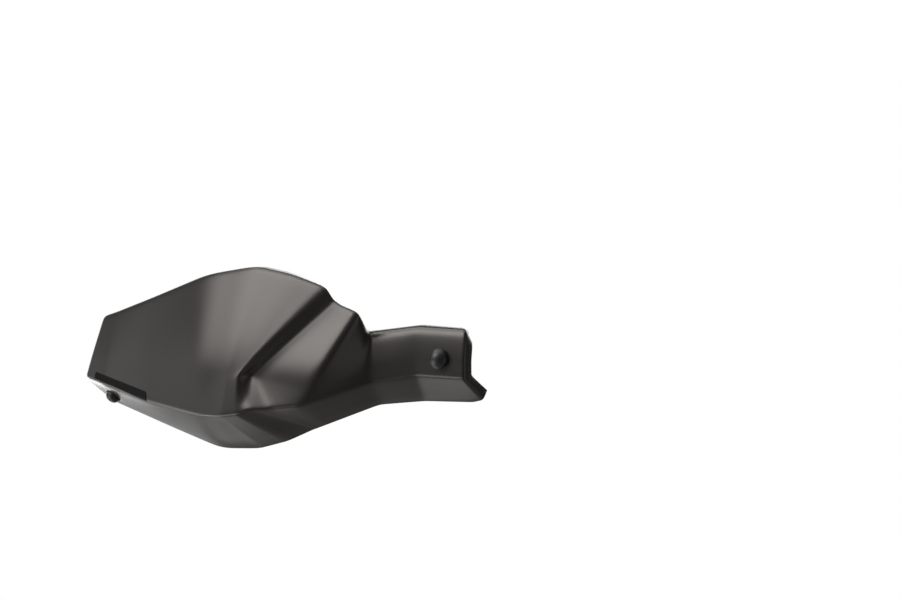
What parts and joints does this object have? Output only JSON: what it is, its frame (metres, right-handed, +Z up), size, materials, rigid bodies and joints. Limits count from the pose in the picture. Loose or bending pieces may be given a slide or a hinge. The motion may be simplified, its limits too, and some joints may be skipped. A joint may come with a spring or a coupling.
{
  "type": "motorcycle hand guard",
  "caption": "Moulded black plastic hand guard with a stepped shield and inner arm, held by a handlebar clamp and a bar-end weight behind it.",
  "frame": {"origin": "on the handlebar's axis, midway along the clamp", "axes": "+X along the handlebar towards the middle of the motorcycle, -Y forward, +Z up"},
  "size_m": [0.353, 0.1097, 0.1366],
  "materials": {
    "shell_plastic": "fine grained matte black",
    "gloss_strip": "gloss black",
    "cap_plastic": "semi-gloss black",
    "black_steel": "black oxide steel",
    "black_aluminium": "black anodised",
    "zinc_steel": "zinc plated",
    "rubber": "plain black"
  },
  "bodies": {
    "root": {"guard_shell": "shell_plastic", "name_strip": "gloss_strip", "arm_screw_cap": "cap_plastic", "arm_screw": "black_steel", "arm_washer": "zinc_steel", "arm_grommet": "rubber", "arm_sleeve": "zinc_steel", "clamp_front": "black_aluminium", "clamp_rear": "black_aluminium", "clamp_screws": "black_steel", "bar_end_weight": "black_aluminium", "bar_end_bracket": "black_steel", "bar_end_bolt": "black_steel", "bar_end_washer": "zinc_steel", "expander_sleeve": "rubber", "expander_cone": "zinc_steel", "flange_screw": "black_steel", "flange_washer": "black_steel", "flange_nut": "zinc_steel"}
  },
  "joints": []
}
